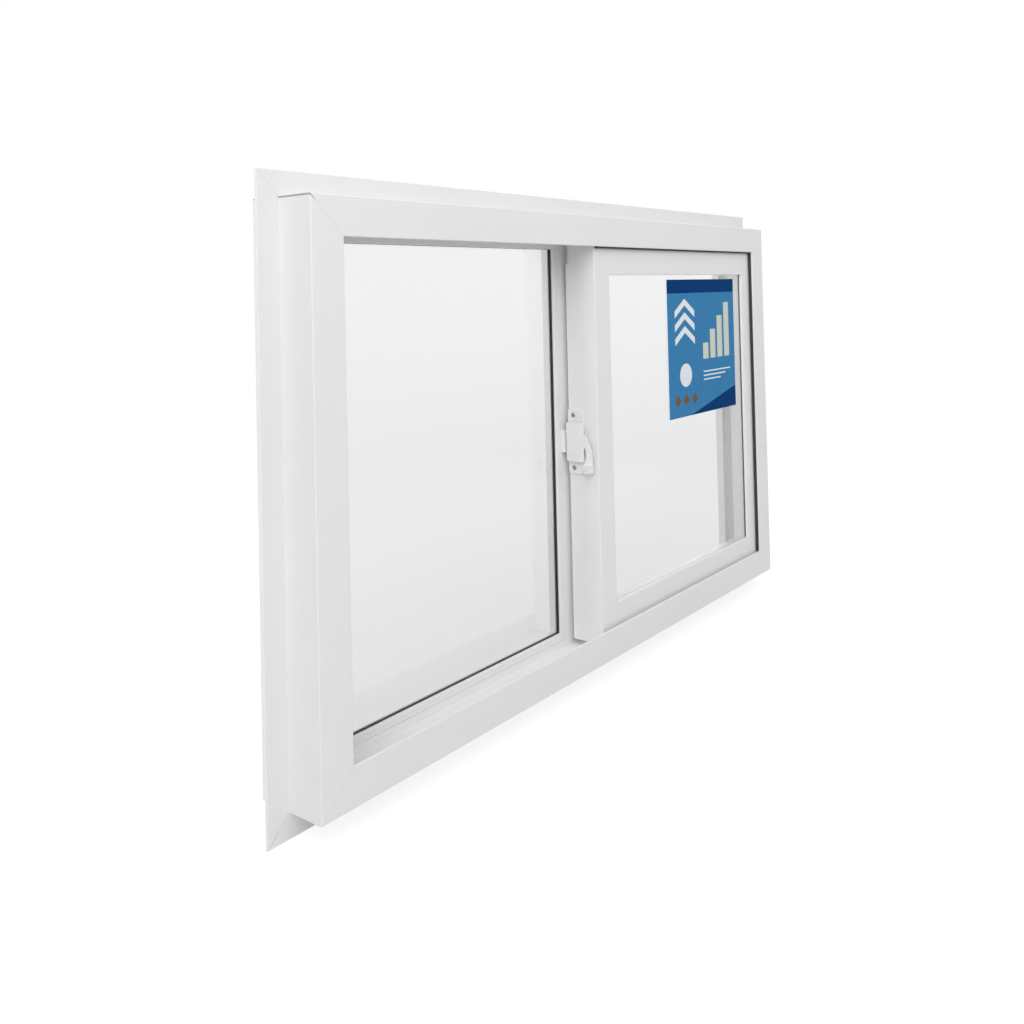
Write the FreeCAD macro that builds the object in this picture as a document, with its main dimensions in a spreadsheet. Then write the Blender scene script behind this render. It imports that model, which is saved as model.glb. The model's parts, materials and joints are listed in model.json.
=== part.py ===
"""Horizontal sliding window: a white PVC single slider with a nailing flange.

Frame: +X to the right seen from the room, +Y out of the room, +Z up. The origin
lies on the flange's wall side, in the middle of the lower flange strip.
"""
import FreeCAD, Part
import math
import os
import Sketcher

doc = FreeCAD.newDocument("sliding_window")
sheet = doc.addObject("Spreadsheet::Sheet", "sizes")

# Driving dimensions in millimetres and degrees
DRIVING = {
    # Frame, measured over its body and not over the flange
    "frame_width": 1000.0,
    "frame_height": 600.0,
    "frame_depth": 90.0,
    "flange_setback": 48.0,
    "flange_width": 26.0,
    "flange_thickness": 3.0,
    "profile_wall": 2.2,
    "lip_height": 41.0,
    "lip_thickness": 2.5,
    "edge_round": 1.2,
    "fine_round": 0.8,
    "split_length": 14.0,
    "weld_split_length": 8.0,
    "split_gap": 1.8,
    "seal_root": 7.0,
    "seal_tip": 2.5,
    "seal_depth": 3.5,
    "seal_round": 1.2,
    "seal_start": 1.0,
    "floor_height": 14.0,
    "rail_height": 5.0,
    "rail_thickness": 4.0,
    "rail_depth": 25.0,
    # Fixed pane and its pocket
    "pocket_depth": 61.0,
    "pocket_height": 24.0,
    "fixed_bead_width": 10.0,
    "head_bead_width": 19.0,
    "fixed_bead_depth": 5.0,
    "outer_leg_height": 34.0,
    "outer_leg_slope": 10.0,
    "glass_thickness": 4.0,
    "glass_bite": 9.0,
    "tape_thickness": 2.0,
    "tape_recess": 2.0,
    "gasket_height": 1.0,
    "gasket_head_height": 0.4,
    "gasket_depth": 2.0,
    # Fixed mullion
    "mullion_place": 472.0,
    "mullion_width": 40.0,
    "mullion_leg": 10.0,
    "hook_place": 22.0,
    "hook_reach": 12.0,
    "hook_lip": 7.0,
    "hook_wall": 2.5,
    # Sliding sash
    "sash_place": 484.5,
    "sash_front": 7.5,
    "sash_thickness": 34.5,
    "sash_end_gap": 6.0,
    "sash_foot": 22.0,
    "sash_head": 32.0,
    "rail_sight": 48.0,
    "stile_sight": 37.0,
    "sash_bead_width": 13.0,
    "sash_bead_depth": 5.0,
    "sash_leg_setback": 2.5,
    "sash_leg_slope": 5.0,
    "sash_round": 1.5,
    "sash_tape": 1.5,
    "sash_tape_lap": 0.5,
    "sash_tape_recess": 4.0,
    "groove_width": 16.0,
    "groove_depth": 15.0,
    "interlock_reach": 14.0,
    "interlock_lip": 8.0,
    "interlock_notch_height": 31.0,
    "interlock_notch_depth": 5.0,
    # Rollers and top guides
    "roller_radius": 8.0,
    "roller_width": 5.0,
    "axle_radius": 2.5,
    "axle_clearance": 0.2,
    "roller_inset": 110.0,
    "carriage_length": 60.0,
    "carriage_cheek": 3.0,
    "guide_length": 40.0,
    "guide_reach": 16.0,
    "guide_slot": 7.0,
    "guide_clearance": 1.2,
    "seat_clearance": 0.3,
    # Lock
    "lock_height": 271.0,
    "lock_plate_length": 88.0,
    "lock_plate_width": 25.0,
    "lock_plate_thickness": 2.5,
    "lock_plate_round": 4.0,
    "lock_edge": 0.5,
    "housing_length": 54.0,
    "housing_width": 28.5,
    "housing_rise": 4.7,
    "housing_wall": 1.5,
    "housing_round": 3.0,
    "pivot_setback": 14.5,
    "pivot_radius": 4.0,
    "hub_radius": 7.0,
    "lever_thickness": 2.8,
    "shoulder_reach": 15.0,
    "shoulder_rise": 11.0,
    "shoulder_round": 6.0,
    "bow_reach": 25.5,
    "bow_drop": 12.0,
    "bow_round": 25.0,
    "lever_reach": 27.0,
    "lever_drop": 42.0,
    "throat_reach": 15.5,
    "throat_drop": 8.0,
    "neck_reach": 17.5,
    "neck_drop": 18.0,
    "neck_round": 4.0,
    "thumb_start": 13.0,
    "thumb_top": 29.0,
    "thumb_rise": 3.0,
    "thumb_round": 2.0,
    "cam_reach": 19.0,
    "cam_width": 6.0,
    "cam_rest_angle": 122.0,
    "keeper_width": 11.0,
    "keeper_length": 30.0,
    "keeper_rise": 4.5,
    "keeper_wall": 2.2,
    "keeper_slot": 6.0,
}


class Dim:
    """A size as both an expression on the sheet and its present value."""

    def __init__(self, text, value):
        self.text = text
        self.value = value

    def __add__(self, other):
        other = as_dim(other)
        return Dim(f"{self.text} + {other.text}", self.value + other.value)

    def __sub__(self, other):
        other = as_dim(other)
        return Dim(f"{self.text} - ({other.text})", self.value - other.value)

    def __mul__(self, factor):
        factor = as_dim(factor)
        return Dim(f"({self.text}) * ({factor.text})", self.value * factor.value)

    def __truediv__(self, divisor):
        return Dim(f"({self.text}) / ({divisor.text})", self.value / divisor.value)

    def __neg__(self):
        return Dim(f"-({self.text})", -self.value)


def as_dim(number):
    """Return a Dim for a Dim or a plain number."""
    return number if isinstance(number, Dim) else Dim(str(float(number)), float(number))


SIZE = {}
for row, (alias, number) in enumerate(DRIVING.items(), start=1):
    sheet.set(f"A{row}", alias)
    sheet.set(f"B{row}", str(number))
    sheet.setAlias(f"B{row}", alias)
doc.recompute()
for alias in DRIVING:
    SIZE[alias] = Dim(f"sizes.{alias}", float(sheet.get(alias)))

ZERO = as_dim(0)
parts = []


def size(alias):
    """Return a driving dimension by its name on the sheet."""
    return SIZE[alias]


def depth(value):
    """Return the Y place of a depth measured from the room side of the frame."""
    return as_dim(value) - size("flange_setback")


def bind(obj, path, value):
    """Bind a property to an expression on the sheet."""
    obj.setExpression(path, as_dim(value).text)


def place(obj, x=ZERO, y=ZERO, z=ZERO, axis=(0, 1, 0), turn=0.0):
    """Turn an object about an axis and bind its place to the sheet."""
    obj.Placement = FreeCAD.Placement(FreeCAD.Vector(), FreeCAD.Rotation(FreeCAD.Vector(*axis), turn))
    bind(obj, "Placement.Base.x", x)
    bind(obj, "Placement.Base.y", y)
    bind(obj, "Placement.Base.z", z)


def keep(obj, label):
    """List an object as a sub-part under its own label."""
    obj.Label = label
    parts.append(obj)
    return obj


def bind_point(sketch, geometry, across, up):
    """Bind a point, or the start of a line, to two places on the sheet."""
    for kind, target in (("DistanceX", across), ("DistanceY", up)):
        number = sketch.addConstraint(Sketcher.Constraint(kind, -1, 1, geometry, 1, target.value))
        sketch.setExpression(f"Constraints[{number}]", target.text)


def add_loop(sketch, points):
    """Draw a closed outline whose corners are bound to the sheet.

    A corner is (across, up), or (across, up, radius) where it is rounded.
    """
    count = len(points)
    corners = [FreeCAD.Vector(point[0].value, point[1].value, 0) for point in points]
    ways = [(corners[(index + 1) % count] - corners[index]).normalize() for index in range(count)]
    trims = []
    for index, point in enumerate(points):
        bend = ways[index - 1].getAngle(ways[index])
        trims.append(point[2].value * math.tan(bend * 0.5) if len(point) > 2 else 0.0)
    lines = []
    for index in range(count):
        following = (index + 1) % count
        start = corners[index] + ways[index] * trims[index]
        end = corners[following] - ways[index] * trims[following]
        lines.append(sketch.addGeometry(Part.LineSegment(start, end), False))
    for index, point in enumerate(points):
        before, after = lines[index - 1], lines[index]
        if len(point) > 2:
            round_corner(sketch, before, after, corners[index], point)
        else:
            sketch.addConstraint(Sketcher.Constraint("Coincident", before, 2, after, 1))
            bind_point(sketch, after, point[0], point[1])


def round_corner(sketch, before, after, corner, point):
    """Join two lines by an arc that is tangent to both, round a bound corner point."""
    across, up, radius = point
    start, end = sketch.getPoint(before, 2), sketch.getPoint(after, 1)
    inward = (start - corner) + (end - corner)
    reach = inward.Length * 0.5
    trim = (start - corner).Length
    centre = corner + inward.normalize() * (trim * trim / reach)
    middle = centre + (corner - centre).normalize() * radius.value
    arc = sketch.addGeometry(Part.Arc(start, middle, end), False)
    near, far = (1, 2) if sketch.getPoint(arc, 1).distanceToPoint(start) < trim * 0.5 else (2, 1)
    mark = sketch.addGeometry(Part.Point(corner), True)
    bind_point(sketch, mark, across, up)
    for line in (before, after):
        sketch.addConstraint(Sketcher.Constraint("PointOnObject", mark, 1, line))
    sketch.addConstraint(Sketcher.Constraint("Tangent", before, 2, arc, near))
    sketch.addConstraint(Sketcher.Constraint("Tangent", after, 1, arc, far))
    number = sketch.addConstraint(Sketcher.Constraint("Radius", arc, radius.value))
    sketch.setExpression(f"Constraints[{number}]", radius.text)


def add_sketch(body, name, plane, loops):
    """Add a sketch of closed outlines on one of the body's own planes."""
    sketch = body.newObject("Sketcher::SketchObject", name)
    support = [item for item in body.Origin.OriginFeatures if item.Role == plane][0]
    sketch.AttachmentSupport = [(support, "")]
    sketch.MapMode = "FlatFace"
    for loop in loops:
        add_loop(sketch, loop)
    return sketch


def add_pad(body, sketch, length):
    """Extrude a sketch to both sides of its plane."""
    pad = body.newObject("PartDesign::Pad", f"{sketch.Name}_pad")
    pad.Profile = sketch
    pad.SideType = "Symmetric"
    bind(pad, "Length", length)
    return pad


def add_cut(body, sketch):
    """Cut a sketch right through the body."""
    pocket = body.newObject("PartDesign::Pocket", f"{sketch.Name}_pocket")
    pocket.Profile = sketch
    pocket.SideType = "Symmetric"
    pocket.Type = "ThroughAll"
    return pocket


def rectangle(low_across, high_across, low_up, high_up):
    """Return the corners of a rectangle."""
    return [(low_across, low_up), (high_across, low_up), (high_across, high_up), (low_across, high_up)]


def mitre_triangle(length, run, rise, half_span, side):
    """Return the triangle beyond a mitre that leaves the outer corner by run and rise."""
    points = []
    for along, up in ((1, -1), (1, 2), (-2, 2)):
        x = length * 0.5 + run * along
        points.append((x if side > 0 else -x, rise * up - half_span))
    return points


def add_member(label, loops, length, half_span, mitres, centre, turn, overhang=ZERO):
    """Build one mitred length of profile around a rectangle's centre.

    The loops are (inward, depth) outlines, where inward counts from the outer edge,
    each mitre gives the run and rise of the cut at one end, and overhang is how far
    the profile reaches outside that edge.
    """
    body = doc.addObject("PartDesign::Body", label)
    section = [[(y, inward - half_span, *radius) for inward, y, *radius in loop] for loop in loops]
    sketch = add_sketch(body, f"{label}_section", "YZ_Plane", section)
    add_pad(body, sketch, length + overhang * 2)
    for side, (run, rise) in zip((1, -1), mitres):
        triangle = mitre_triangle(length, run, rise, half_span, side)
        cut = add_sketch(body, f"{label}_mitre_{'right' if side > 0 else 'left'}", "XZ_Plane", [triangle])
        add_cut(body, cut)
    place(body, centre[0], ZERO, centre[1], (0, 1, 0), turn)
    return keep(body, label)


def add_plate(label, x_range, y_range, z_range, hole=None):
    """Build an upright sheet or ring that lies in one plane, given by its sides."""
    body = doc.addObject("PartDesign::Body", label)
    loops = [rectangle(*x_range, *z_range)]
    if hole:
        loops.append(rectangle(*hole))
    sketch = add_sketch(body, f"{label}_outline", "XZ_Plane", loops)
    add_pad(body, sketch, y_range[1] - y_range[0])
    place(body, ZERO, (y_range[0] + y_range[1]) * 0.5, ZERO)
    return keep(body, label)


def add_slab(name, outline, x_range):
    """Build a plate that lies in a side plane, given by its (depth, height) outline."""
    body = doc.addObject("PartDesign::Body", name)
    add_pad(body, add_sketch(body, f"{name}_outline", "YZ_Plane", [outline]), x_range[1] - x_range[0])
    place(body, (x_range[0] + x_range[1]) * 0.5)
    return body


def add_box(name, x_range, y_range, z_range):
    """Add a box between bound limits."""
    box = doc.addObject("Part::Box", name)
    for prop, limits in (("Length", x_range), ("Width", y_range), ("Height", z_range)):
        bind(box, prop, limits[1] - limits[0])
    place(box, x_range[0], y_range[0], z_range[0])
    return box


def add_round(name, radius, length, start, axis):
    """Add a cylinder along X or Y from a bound start."""
    rod = doc.addObject("Part::Cylinder", name)
    bind(rod, "Radius", radius)
    bind(rod, "Height", length)
    turn_axis, turn = ((0, 1, 0), 90.0) if axis == "X" else ((1, 0, 0), -90.0)
    place(rod, *start, turn_axis, turn)
    return rod


def join(name, pieces):
    """Fuse several objects into one."""
    fuse = doc.addObject("Part::MultiFuse", name)
    fuse.Shapes = pieces
    fuse.Refine = True
    return fuse


def cut(name, base, tool):
    """Cut one object from another."""
    result = doc.addObject("Part::Cut", name)
    result.Base = base
    result.Tool = tool
    return result


# Shared levels
half_width = size("frame_width") * 0.5
half_height = size("frame_height") * 0.5
base_height = size("flange_width") * 0.5
centre_height = base_height + half_height
wall = size("profile_wall")
glass_front = size("pocket_depth") + size("fixed_bead_depth")
glass_back = glass_front + size("glass_thickness")
leg_front = glass_back + size("tape_thickness")


def from_left(value):
    """Return the X place of a length measured from the frame's left edge."""
    return as_dim(value) - half_width


def from_foot(value):
    """Return the Z place of a height measured from the frame's lower edge."""
    return base_height + value


def from_head(value):
    """Return the Z place of a drop measured from the frame's upper edge."""
    return base_height + size("frame_height") - value


def frame_section():
    """Return the frame profile: its outline with lip, rail, pocket and flange, and its chambers."""
    floor = size("floor_height")
    rail_front = size("rail_depth") - size("rail_thickness") * 0.5
    rail_back = size("rail_depth") + size("rail_thickness") * 0.5
    rail_top = floor + size("rail_height")
    lip_back = size("lip_thickness")
    pocket = size("pocket_depth")
    flange_back = size("flange_setback") + size("flange_thickness")
    edge, fine = size("edge_round"), size("fine_round")
    outer_leg = size("outer_leg_height")
    outer_end = outer_leg - size("outer_leg_slope")
    corners = [
        (ZERO, ZERO, edge), (size("lip_height"), ZERO, edge), (size("lip_height"), lip_back, fine),
        (floor, lip_back), (floor, rail_front), (rail_top, rail_front), (rail_top, rail_back),
        (floor, rail_back), (floor, pocket), (size("pocket_height"), pocket),
        (size("pocket_height"), leg_front), (outer_leg, leg_front), (outer_end, size("frame_depth"), edge),
        (ZERO, size("frame_depth"), edge),
        (ZERO, flange_back), (-size("flange_width"), flange_back, fine),
        (-size("flange_width"), size("flange_setback"), fine), (ZERO, size("flange_setback")),
    ]
    chambers = [
        rectangle(wall, floor - wall, wall, rail_front),
        rectangle(wall, floor - wall, rail_front + wall, size("flange_setback") - wall),
        rectangle(wall, floor - wall, size("flange_setback"), pocket),
        rectangle(wall, size("pocket_height") - wall, pocket + wall, leg_front),
        [(wall, leg_front + wall), (outer_leg - wall * 2, leg_front + wall),
         (outer_end - wall, size("frame_depth") - wall), (wall, size("frame_depth") - wall)],
    ]
    return [[(inward, depth(y), *radius) for inward, y, *radius in loop] for loop in [corners] + chambers]


def build_frame():
    """Build the four mitred frame members, each with its share of the flange."""
    run = size("lip_height")
    mitres = ((run, run), (run, run))
    members = (
        ("sill", "frame_width", "frame_height", 0.0),
        ("left_jamb", "frame_height", "frame_width", 90.0),
        ("head", "frame_width", "frame_height", 180.0),
        ("right_jamb", "frame_height", "frame_width", -90.0),
    )
    for label, along, across, turn in members:
        member = add_member(label, frame_section(), size(along), size(across) * 0.5, mitres,
                            (ZERO, centre_height), turn, size("flange_width"))
        if label == "sill":
            flange = size("flange_width")
            split_corner(member, -half_width - flange, -half_height - flange, size("split_length"))
        elif label == "left_jamb":
            split_corner(member, -half_height, -half_width, size("weld_split_length"))


def split_corner(member, corner_x, corner_z, length):
    """Open a member's weld at the corner of its left end, as on the real one."""
    wedge = [
        (corner_x, corner_z), (corner_x + size("split_gap"), corner_z),
        (corner_x + length, corner_z + length),
    ]
    add_cut(member, add_sketch(member, f"{member.Label}_split", "XZ_Plane", [wedge]))


def build_seals():
    """Build the black seals behind the lips of the head and the right jamb, in front of the closed sash."""
    front = depth(size("lip_thickness"))
    back = front + size("seal_depth")
    root = size("lip_height") - size("seal_root")
    tip = size("lip_height") + size("seal_tip")
    bulb = size("seal_round")
    head_outline = [
        (front, from_head(root)), (back, from_head(root)),
        (back, from_head(tip), bulb), (front, from_head(tip), bulb),
    ]
    start = sash_left + size("seal_start")
    keep(add_slab("head_seal", head_outline, (start, half_width - root)), "head_seal")
    body = doc.addObject("PartDesign::Body", "jamb_seal")
    jamb_outline = [
        (half_width - root, front), (half_width - root, back),
        (half_width - tip, back, bulb), (half_width - tip, front, bulb),
    ]
    low, high = from_foot(size("lip_height")), from_head(tip)
    add_pad(body, add_sketch(body, "jamb_seal_outline", "XY_Plane", [jamb_outline]), high - low)
    place(body, ZERO, ZERO, (low + high) * 0.5)
    keep(body, "jamb_seal")


def build_mullion():
    """Build the fixed upright with its glazing leg and its interlock hook."""
    left = from_left(size("mullion_place"))
    right = left + size("mullion_width")
    leg = left - size("mullion_leg")
    leg_end = leg + size("outer_leg_slope")
    edge = size("edge_round")
    front = size("pocket_depth")
    hook = left + size("hook_place")
    hook_back = hook + size("hook_wall")
    hook_front = front - size("hook_reach")
    lip_back = hook_front + size("hook_wall")
    back = size("frame_depth")
    outline = [
        (left, front), (hook, front), (hook, lip_back), (hook_back - size("hook_lip"), lip_back),
        (hook_back - size("hook_lip"), hook_front), (hook_back, hook_front), (hook_back, front),
        (right, front), (right, back, edge), (leg_end, back, edge), (leg, leg_front), (left, leg_front),
    ]
    chambers = [
        rectangle(left + wall, right - wall, front + wall, leg_front),
        [(leg + wall * 2, leg_front + wall), (right - wall, leg_front + wall), (right - wall, back - wall),
         (leg_end + wall, back - wall)],
    ]
    body = doc.addObject("PartDesign::Body", "fixed_mullion")
    loops = [[(x, depth(y), *radius) for x, y, *radius in loop] for loop in [outline] + chambers]
    sketch = add_sketch(body, "mullion_section", "XY_Plane", loops)
    add_pad(body, sketch, size("frame_height") - size("pocket_height") * 2)
    half_back = half_height - size("outer_leg_height")
    half_end = half_back + size("outer_leg_slope")
    notches = []
    for side in (1, -1):
        notches.append([
            (depth(leg_front), half_height * side), (depth(leg_front), half_back * side),
            (depth(back), half_end * side), (depth(back) + wall, half_end * side),
            (depth(back) + wall, half_height * side),
        ])
    add_cut(body, add_sketch(body, "mullion_end_notches", "YZ_Plane", notches))
    place(body, ZERO, ZERO, centre_height)
    keep(body, "fixed_mullion")


def build_fixed_pane():
    """Build the fixed glass with its beads, its black wedge gasket and its outer tape."""
    bead = size("fixed_bead_width")
    left = from_left(size("pocket_height") + bead)
    right = from_left(size("mullion_place") - bead)
    low = from_foot(size("pocket_height") + bead)
    head_bead = size("head_bead_width")
    high = from_head(size("pocket_height") + head_bead)
    width = right - left
    height = high - low
    centre = ((left + right) * 0.5, (low - bead + high + head_bead) * 0.5)
    front = depth(size("pocket_depth"))
    back = depth(glass_front)
    outer_width = width + bead * 2
    outer_height = height + bead + head_bead
    square, at_head, under_head = (bead, bead), (bead, head_bead), (head_bead, bead)
    members = (
        ("fixed_bead_sill", outer_width, outer_height, 0.0, bead, (square, square)),
        ("fixed_bead_left", outer_height, outer_width, 90.0, bead, (square, under_head)),
        ("fixed_bead_head", outer_width, outer_height, 180.0, head_bead, (at_head, at_head)),
        ("fixed_bead_mullion", outer_height, outer_width, -90.0, bead, (under_head, square)),
    )
    for label, along, across, turn, sight, mitres in members:
        section = [[(ZERO, front, size("fine_round")), (sight, front, size("edge_round")),
                    (sight, back), (ZERO, back)]]
        add_member(label, section, along, across * 0.5, mitres, centre, turn)
    rise = size("gasket_height")
    add_plate("fixed_gasket", (left, right), (back - size("gasket_depth"), back), (low, high),
              (left + rise, right - rise, low + rise, high - size("gasket_head_height")))
    bite = size("glass_bite")
    edges = (left - bite, right + bite), (low - bite, high + bite)
    add_plate("fixed_glass", edges[0], (back, depth(glass_back)), edges[1])
    recess = size("tape_recess")
    add_plate("fixed_tape", edges[0], (depth(glass_back), depth(leg_front)), edges[1],
              (left - recess, right + recess, low - recess, high + recess))


# Sash levels
sash_left = from_left(size("sash_place"))
sash_right = half_width - size("floor_height") - size("sash_end_gap")
sash_low = from_foot(size("sash_foot"))
sash_high = from_head(size("sash_head"))
sash_width = sash_right - sash_left
sash_height = sash_high - sash_low
sash_centre = ((sash_left + sash_right) * 0.5, (sash_low + sash_high) * 0.5)
sash_front = depth(size("sash_front"))
sash_back = sash_front + size("sash_thickness")
sash_glass_front = sash_front + size("sash_bead_depth")
sash_glass_back = sash_glass_front + size("glass_thickness")
sash_leg_front = sash_glass_back + size("sash_tape")
groove_front = depth(size("rail_depth") - size("groove_width") * 0.5)
groove_back = depth(size("rail_depth") + size("groove_width") * 0.5)
# The meeting stile is narrower than the rails. Its bead and its leg are narrower by the same share, so they
# meet those of the rails on the mitre
stile_share = size("stile_sight") / size("rail_sight")
stile_bead = size("sash_bead_width") * stile_share


def sash_rail_section():
    """Return the profile of the rails and the closing stile, with its roller groove."""
    sight = size("rail_sight")
    face = sight - size("sash_bead_width")
    groove = size("groove_depth")
    leg_top = sight - size("sash_leg_setback")
    leg_end = leg_top - size("sash_leg_slope")
    edge = size("edge_round")
    outline = [
        (ZERO, sash_front, size("sash_round")), (face, sash_front), (face, sash_leg_front),
        (leg_top, sash_leg_front), (leg_end, sash_back, edge), (ZERO, sash_back, edge), (ZERO, groove_back),
        (groove, groove_back), (groove, groove_front), (ZERO, groove_front),
    ]
    chambers = [
        rectangle(wall, face - wall, sash_front + wall, groove_front - wall),
        rectangle(groove + wall, face - wall, groove_front, groove_back),
        rectangle(wall, face - wall, groove_back + wall, sash_back - wall),
        [(face, sash_leg_front + wall), (leg_top - wall * 2, sash_leg_front + wall),
         (leg_end - wall, sash_back - wall), (face, sash_back - wall)],
    ]
    return [outline] + chambers


def meeting_stile_section():
    """Return the profile of the meeting stile, with the interlock leg behind it."""
    sight = size("stile_sight")
    face = sight - stile_bead
    leg = size("hook_wall")
    reach = sash_back + size("interlock_reach")
    lip = size("interlock_lip")
    leg_top = sight - size("sash_leg_setback") * stile_share
    leg_end = leg_top - size("sash_leg_slope") * stile_share
    outline = [
        (ZERO, sash_front, size("sash_round")), (face, sash_front), (face, sash_leg_front),
        (leg_top, sash_leg_front), (leg_end, sash_back, size("edge_round")), (leg, sash_back),
        (leg, reach - leg), (lip, reach - leg), (lip, reach, size("fine_round")),
        (ZERO, reach, size("fine_round")),
    ]
    chambers = [
        rectangle(wall, face - wall, sash_front + wall, sash_back - wall),
        [(face, sash_leg_front + wall), (leg_top - wall * 2, sash_leg_front + wall),
         (leg_end - wall, sash_back - wall), (face, sash_back - wall)],
    ]
    return [outline] + chambers


def build_sash():
    """Build the sash members, its glass, beads and tape."""
    rail = size("rail_sight")
    stile = size("stile_sight")
    square = (rail, rail)
    add_member("sash_bottom_rail", sash_rail_section(), sash_width, sash_height * 0.5,
               (square, (stile, rail)), sash_centre, 0.0)
    add_member("sash_top_rail", sash_rail_section(), sash_width, sash_height * 0.5,
               ((stile, rail), square), sash_centre, 180.0)
    add_member("sash_closing_stile", sash_rail_section(), sash_height, sash_width * 0.5,
               (square, square), sash_centre, -90.0)
    stile_body = add_member("sash_meeting_stile", meeting_stile_section(), sash_height, sash_width * 0.5,
                            ((rail, stile), (rail, stile)), sash_centre, 90.0)
    notch_interlock(stile_body)
    left, right = sash_left + stile, sash_right - rail
    low, high = sash_low + rail, sash_high - rail
    bead = size("sash_bead_width")
    rear = sash_glass_front
    centre = ((left - stile_bead + right + bead) * 0.5, (low + high) * 0.5)
    width = right - left + bead + stile_bead
    height = high - low + bead * 2
    even, at_stile, on_stile = (bead, bead), (stile_bead, bead), (bead, stile_bead)
    members = (
        ("sash_bead_bottom", width, height, 0.0, bead, (even, at_stile)),
        ("sash_bead_left", height, width, 90.0, stile_bead, (on_stile, on_stile)),
        ("sash_bead_top", width, height, 180.0, bead, (at_stile, even)),
        ("sash_bead_right", height, width, -90.0, bead, (even, even)),
    )
    for label, along, across, turn, sight, mitres in members:
        section = [[(ZERO, sash_front), (sight, sash_front, size("edge_round")),
                    (sight, rear), (ZERO, rear)]]
        add_member(label, section, along, across * 0.5, mitres, centre, turn)
    bite = size("glass_bite")
    edges = (left - bite, right + bite), (low - bite, high + bite)
    add_plate("sash_glass", edges[0], (sash_glass_front, sash_glass_back), edges[1])
    lap = size("sash_tape_lap")
    recess = size("sash_tape_recess")
    add_plate("sash_tape", edges[0], (sash_glass_back, sash_leg_front), edges[1],
              (left - lap, right + lap, low - recess, high + recess))


def notch_interlock(stile):
    """Cut the interlock back at the upper end of the meeting stile."""
    reach = sash_back + size("interlock_reach")
    top = -sash_height * 0.5
    start = reach - size("interlock_notch_depth")
    notch = rectangle(top, top + size("interlock_notch_height"), start, reach)
    add_cut(stile, add_sketch(stile, "interlock_notch", "XY_Plane", [notch]))


def build_runners():
    """Build the two roller carriages with their wheels and the two top guides."""
    clear = size("seat_clearance")
    front, back = groove_front + clear, groove_back - clear
    seat = sash_low + size("groove_depth")
    rail_top = from_foot(size("floor_height") + size("rail_height"))
    axle_height = rail_top + size("roller_radius")
    middle = depth(size("rail_depth"))
    guide_seat = sash_high - size("groove_depth")
    head_rail = from_head(size("floor_height") + size("rail_height"))
    half_slot = size("guide_slot") * 0.5
    ends = (("left", sash_left + size("roller_inset")), ("right", sash_right - size("roller_inset")))
    for side, x in ends:
        half = size("carriage_length") * 0.5
        block = add_box(f"carriage_{side}_block", (x - half, x + half), (front, back), (sash_low, seat))
        cheek = size("carriage_cheek")
        slot_half = size("roller_radius") + size("carriage_cheek")
        slot = add_box(f"carriage_{side}_slot", (x - slot_half, x + slot_half),
                       (front + cheek, back - cheek), (rail_top, seat))
        bore = add_round(f"carriage_{side}_bore", size("axle_radius") + size("axle_clearance"), back - front,
                         (x, front, axle_height), "Y")
        keep(cut(f"roller_carriage_{side}", block, join(f"carriage_{side}_tools", [slot, bore])),
             f"roller_carriage_{side}")
        half_tread = size("roller_width") * 0.5
        wheel = add_round(f"wheel_{side}", size("roller_radius"), size("roller_width"),
                          (x, middle - half_tread, axle_height), "Y")
        axle = add_round(f"axle_{side}", size("axle_radius"), back - front, (x, front, axle_height), "Y")
        keep(join(f"roller_{side}", [wheel, axle]), f"roller_{side}")
        half = size("guide_length") * 0.5
        top = sash_high + size("guide_reach")
        guide = add_box(f"guide_{side}_block", (x - half, x + half), (front, back), (guide_seat, top))
        slot = add_box(f"guide_{side}_slot", (x - half, x + half), (middle - half_slot, middle + half_slot),
                       (head_rail - size("guide_clearance"), top))
        keep(cut(f"top_guide_{side}", guide, slot), f"top_guide_{side}")


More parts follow.
